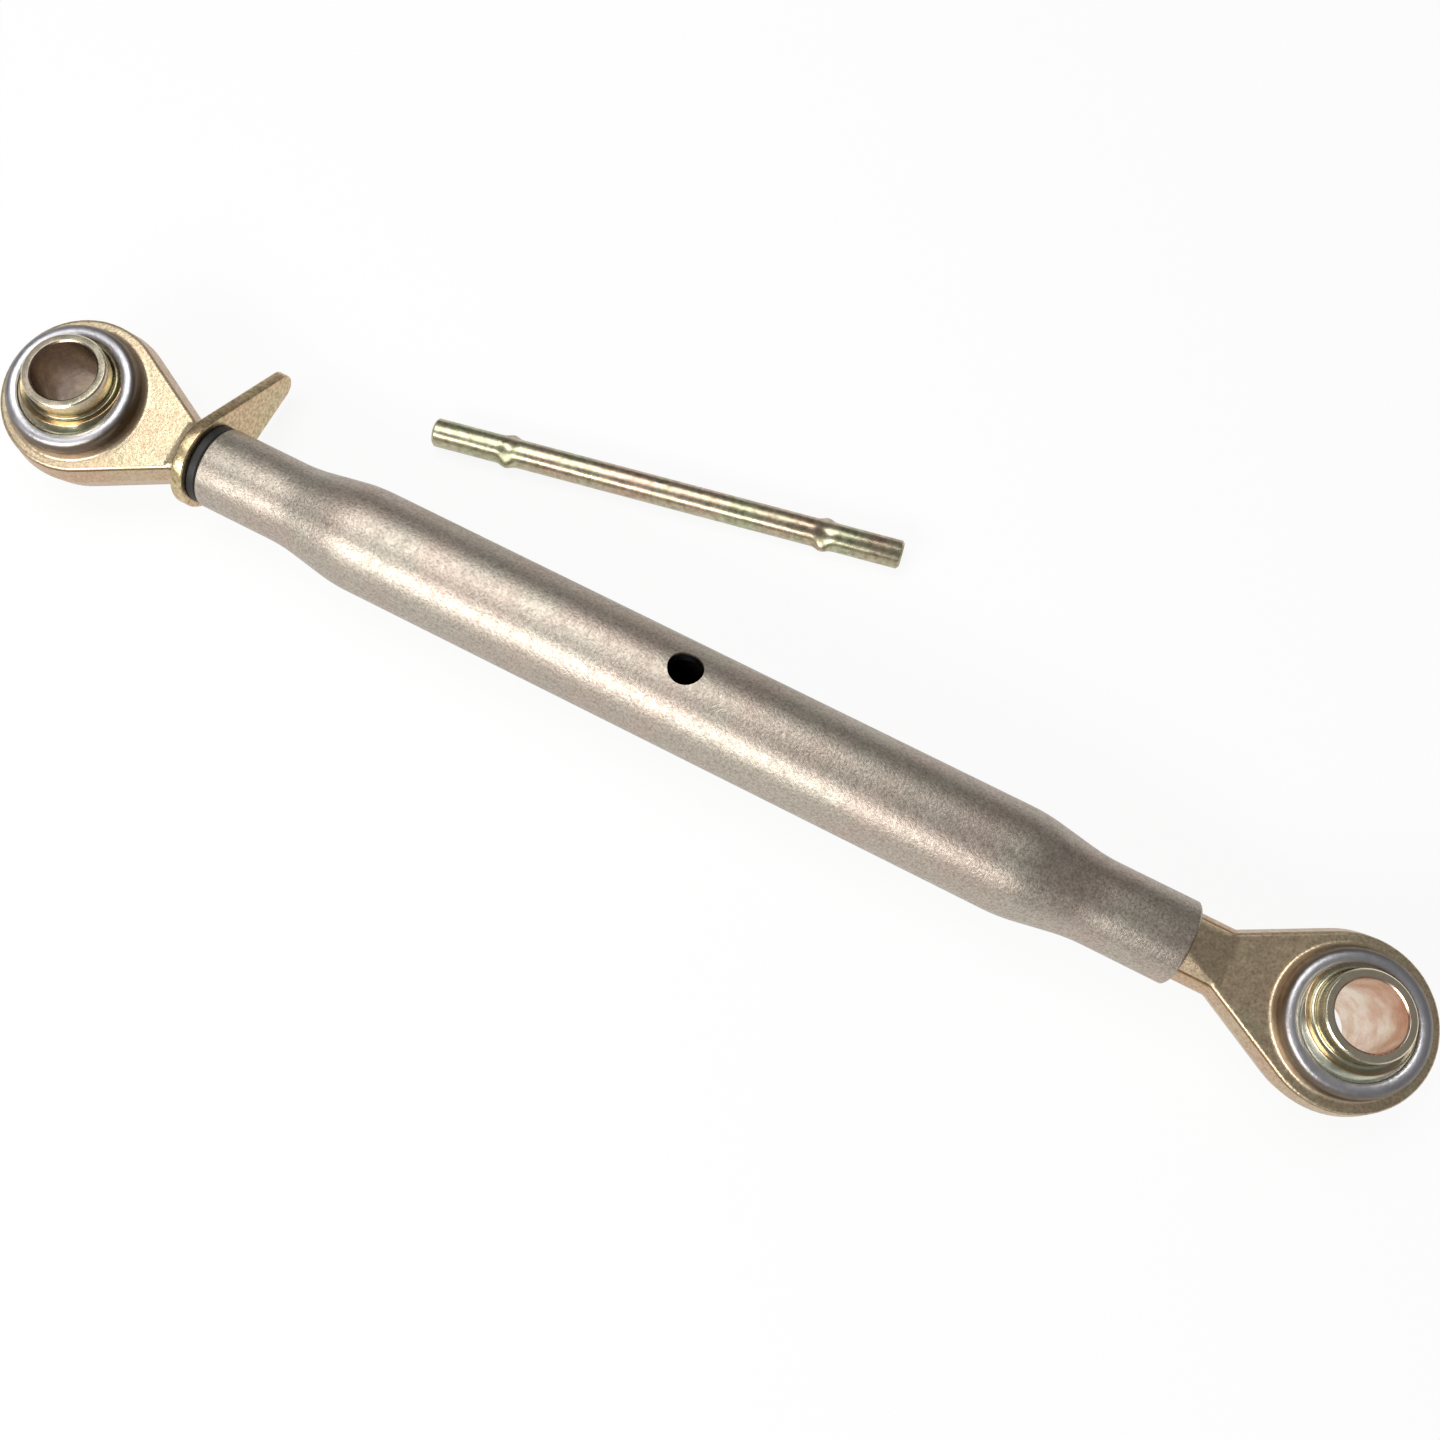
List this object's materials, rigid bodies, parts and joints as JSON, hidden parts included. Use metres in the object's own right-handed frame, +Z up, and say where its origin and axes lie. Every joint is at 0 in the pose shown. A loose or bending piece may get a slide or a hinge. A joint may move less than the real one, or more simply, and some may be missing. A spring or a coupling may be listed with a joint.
{
  "type": "tractor top link",
  "caption": "Screw-adjusted top link: swaged barrel with a left-hand and a right-hand threaded eye end, swivelling balls, lock nut and loose tommy bar.",
  "frame": {"origin": "the middle of the barrel, where the tommy hole crosses the barrel's axis, with the link closed", "axes": "+X along the link towards the eye without the lock nut, +Z up along both pin bores, +Y completes the right-handed frame"},
  "size_m": [0.6074, 0.1413, 0.051],
  "materials": {
    "barrel_plating": "satin, zinc plated over a drawn tube",
    "forging_plating": "satin, yellow passivated zinc over a forged surface",
    "ball_plating": "bright, yellow passivated zinc over a turned surface",
    "bar_plating": "bright, yellow passivated zinc over a drawn bar",
    "seal_rubber": "matt black"
  },
  "bodies": {
    "lock_side_eye": {"eye_end_lock_side": "forging_plating"},
    "barrel_carrier": {"seal_ring": "seal_rubber"},
    "barrel": {"barrel": "barrel_plating"},
    "plain_side_eye": {"eye_end_plain_side": "forging_plating"},
    "lock_nut": {"lock_nut": "forging_plating"},
    "lock_side_ball": {"ball_lock_side": "ball_plating"},
    "plain_side_ball": {"ball_plain_side": "ball_plating"},
    "tommy_bar": {"tommy_bar": "bar_plating"}
  },
  "joints": [
    {"name": "barrel_travel", "type": "slide", "parent": "lock_side_eye", "child": "barrel_carrier", "axis": [1, 0, 0], "range_m": [0, 0.1051]},
    {"name": "barrel_turn", "type": "hinge", "parent": "barrel_carrier", "child": "barrel", "pos_m": [0, 0, 0], "axis": [-1, 0, 0], "range_deg": [0, 12600]},
    {"name": "far_eye_travel", "type": "slide", "parent": "lock_side_eye", "child": "plain_side_eye", "axis": [1, 0, 0], "range_m": [0, 0.2101]},
    {"name": "lock_nut_turn", "type": "hinge", "parent": "barrel", "child": "lock_nut", "pos_m": [-0.2145, 0, 0], "axis": [1, 0, 0], "range_deg": [0, 60]},
    {"name": "lock_side_ball_tilt", "type": "hinge", "parent": "lock_side_eye", "child": "lock_side_ball", "pos_m": [-0.27, 0, 0], "axis": [0, 1, 0], "range_deg": [-9, 9]},
    {"name": "plain_side_ball_tilt", "type": "hinge", "parent": "plain_side_eye", "child": "plain_side_ball", "pos_m": [0.27, 0, 0], "axis": [0, 1, 0], "range_deg": [-9, 9]},
    {"name": "tommy_bar_lift", "type": "slide", "parent": "lock_side_eye", "child": "tommy_bar", "axis": [0, 0, 1], "range_m": [0, 0.1]}
  ],
  "couplings": [
    {"joint": "barrel_travel", "follows": "barrel_turn", "m_per_rad": 0.00047746},
    {"joint": "far_eye_travel", "follows": "barrel_turn", "m_per_rad": 0.00095493}
  ]
}
